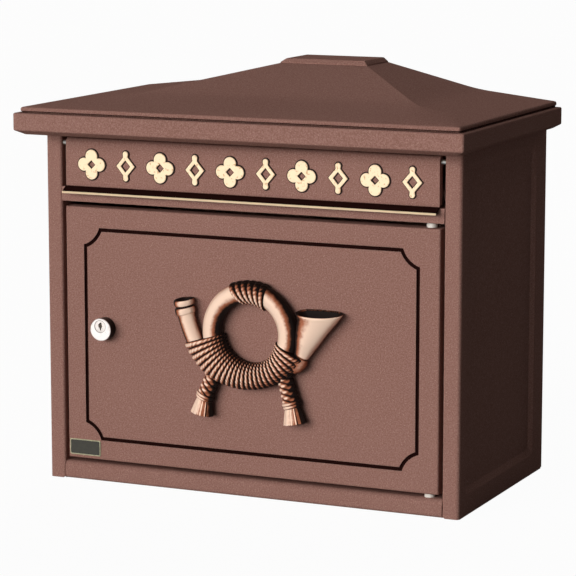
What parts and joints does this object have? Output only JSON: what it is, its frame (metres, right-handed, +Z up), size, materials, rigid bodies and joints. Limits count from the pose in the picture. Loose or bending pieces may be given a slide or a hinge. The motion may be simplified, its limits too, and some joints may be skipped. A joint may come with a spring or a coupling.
{
  "type": "fence mailbox",
  "caption": "Wall or fence mounted letter box with a pagoda roof, a lift-up letter flap and a lockable front door that carries a cast post horn.",
  "frame": {"origin": "centre of the floor's rectangle, on its underside, that the box can stand on", "axes": "+X to the right along the front (the viewer's right), +Y from the front towards the wall, +Z up"},
  "size_m": [0.396, 0.2325, 0.3485],
  "materials": {
    "brown_paint": "fine textured, slightly metallic",
    "gold_paint": "satin",
    "antique_copper": "rubbed, dark in the hollows",
    "nickel": "polished",
    "zinc": "zinc plated",
    "white_nylon": "matt",
    "dark_plate": "satin"
  },
  "bodies": {
    "housing": {"left_side": "brown_paint", "right_side": "brown_paint", "back_panel": "brown_paint", "floor_tray": "brown_paint", "cross_rail": "brown_paint", "roof": "brown_paint", "roof_screws": "zinc", "roof_nuts": "zinc", "back_rivets": "zinc", "floor_rivets": "zinc", "flap_rod": "zinc", "rod_clips": "zinc", "hinge_pin_top": "zinc", "hinge_pin_bottom": "zinc", "door_washer_top": "white_nylon", "door_washer_bottom": "white_nylon"},
    "letter_flap": {"flap": "brown_paint", "flap_ornaments": "gold_paint"},
    "front_door": {"door": "brown_paint", "post_horn": "antique_copper", "horn_studs": "zinc", "horn_nuts": "zinc", "blank_plate": "dark_plate", "lock_body": "nickel", "lock_nut": "zinc"},
    "lock_cylinder": {"lock_plug": "nickel", "lock_cam": "zinc", "cam_screw": "zinc"}
  },
  "joints": [
    {"name": "flap_lift", "type": "hinge", "parent": "housing", "child": "letter_flap", "pos_m": [0, -0.09552, 0.2854], "axis": [-1, 0, 0], "range_deg": [0, 65]},
    {"name": "door_swing", "type": "hinge", "parent": "housing", "child": "front_door", "pos_m": [0.1574, -0.0925, 0.1255], "axis": [0, 0, 1], "range_deg": [0, 110]},
    {"name": "lock_turn", "type": "hinge", "parent": "front_door", "child": "lock_cylinder", "pos_m": [-0.1307, -0.1, 0.1346], "axis": [0, 1, 0], "range_deg": [0, 90]}
  ]
}
